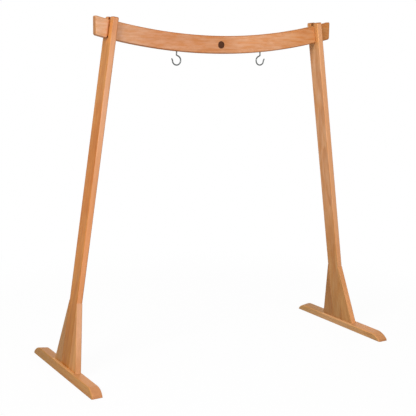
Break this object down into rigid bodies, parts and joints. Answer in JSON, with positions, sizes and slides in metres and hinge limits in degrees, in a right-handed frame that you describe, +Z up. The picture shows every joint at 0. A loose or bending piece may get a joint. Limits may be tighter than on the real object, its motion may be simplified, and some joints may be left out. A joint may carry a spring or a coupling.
{
  "type": "gong stand",
  "caption": "Knock-down wooden gong stand: two leaning forked posts on long feet, an arched crossbar between them, and open hooks for the gong.",
  "frame": {"origin": "on the floor, midway between the two legs and midway between the front and back ends of the feet", "axes": "+X along the crossbar towards the right leg, -Y towards the front of the stand, +Z up"},
  "size_m": [1.5388, 0.649, 1.5004],
  "materials": {
    "foot_wood": "steamed beech, satin oil",
    "post_wood": "steamed beech, satin oil",
    "wedge_wood": "steamed beech, satin oil",
    "bar_wood": "steamed beech, satin oil",
    "dark_wood": "walnut, satin oil",
    "dowel_wood": "raw beech dowel",
    "plated_wire": "bright zinc plate",
    "black_steel": "blackened steel",
    "brass_insert": "plain brass",
    "pad_rubber": "matte black rubber"
  },
  "bodies": {
    "left_leg": {"left_foot": "foot_wood", "left_post": "post_wood", "left_front_wedge": "wedge_wood", "left_back_wedge": "wedge_wood", "left_front_bolt": "black_steel", "left_back_bolt": "black_steel", "left_front_washer": "plated_wire", "left_back_washer": "plated_wire", "left_front_insert": "brass_insert", "left_back_insert": "brass_insert", "left_front_dowel": "dowel_wood", "left_back_dowel": "dowel_wood", "left_front_pad": "pad_rubber", "left_back_pad": "pad_rubber"},
    "bar": {"crossbar": "bar_wood", "bar_inlay": "dark_wood", "left_hook": "plated_wire", "right_hook": "plated_wire"},
    "right_leg": {"right_foot": "foot_wood", "right_post": "post_wood", "right_front_wedge": "wedge_wood", "right_back_wedge": "wedge_wood", "right_front_bolt": "black_steel", "right_back_bolt": "black_steel", "right_front_washer": "plated_wire", "right_back_washer": "plated_wire", "right_front_insert": "brass_insert", "right_back_insert": "brass_insert", "right_front_dowel": "dowel_wood", "right_back_dowel": "dowel_wood", "right_front_pad": "pad_rubber", "right_back_pad": "pad_rubber"}
  },
  "joints": [
    {"name": "bar_lift", "type": "slide", "parent": "left_leg", "child": "bar", "axis": [0.1478, 0, 0.989], "range_m": [0, 0.1]},
    {"name": "right_leg_release", "type": "slide", "parent": "bar", "child": "right_leg", "axis": [0.1478, 0, -0.989], "range_m": [0, 0.1]}
  ],
  "couplings": [
    {"joint": "right_leg_release", "follows": "bar_lift", "ratio": 1}
  ]
}
